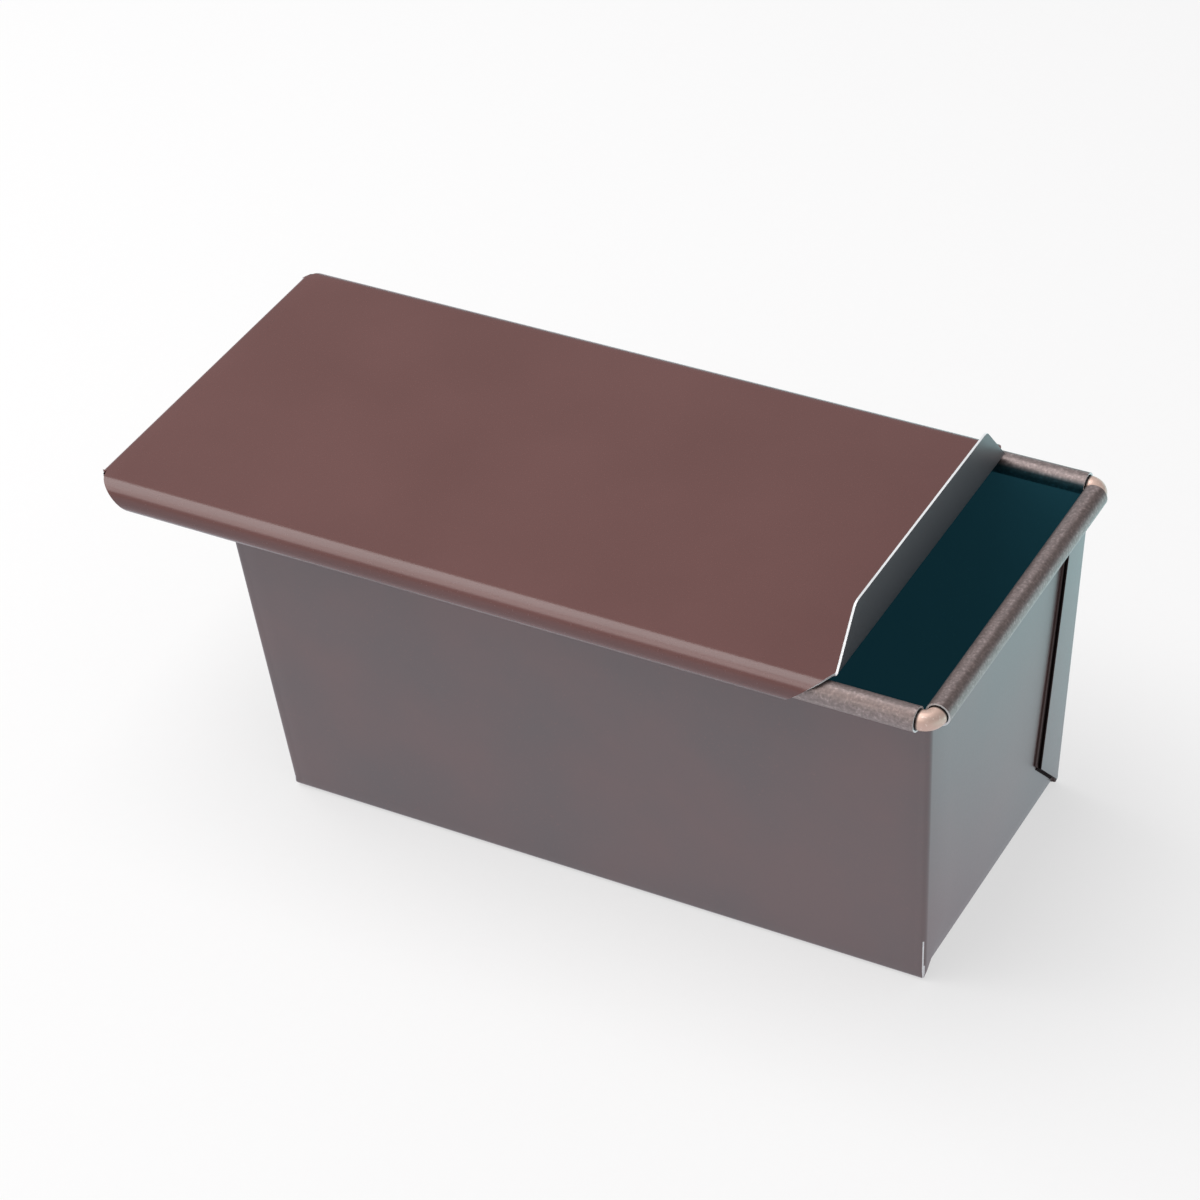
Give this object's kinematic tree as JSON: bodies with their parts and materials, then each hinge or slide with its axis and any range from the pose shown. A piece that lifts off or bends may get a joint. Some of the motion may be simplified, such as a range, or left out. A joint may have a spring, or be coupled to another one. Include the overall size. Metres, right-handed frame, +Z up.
{
  "type": "pullman loaf pan",
  "caption": "Folded steel bread pan with straight tall walls, a wired rim and a lid that slides along the rim.",
  "frame": {"origin": "middle of the base's underside", "axes": "+X along the pan towards the end that the lid leaves open, +Y across the pan, +Z up out of the base"},
  "size_m": [0.2408, 0.1116, 0.1118],
  "materials": {
    "pan_coating": "satin grey-brown bakeware coating outside, near-black non-stick inside",
    "rim_wire": "dull copper-coloured drawn wire",
    "lid_coating": "satin red-brown bakeware coating"
  },
  "bodies": {
    "pan": {"pan_body": "pan_coating", "rim_wire": "rim_wire"},
    "lid": {"sliding_lid": "lid_coating"}
  },
  "joints": [
    {"name": "lid_slide", "type": "slide", "parent": "pan", "child": "lid", "axis": [1, 0, 0], "range_m": [-0.18, 0.0307]}
  ]
}
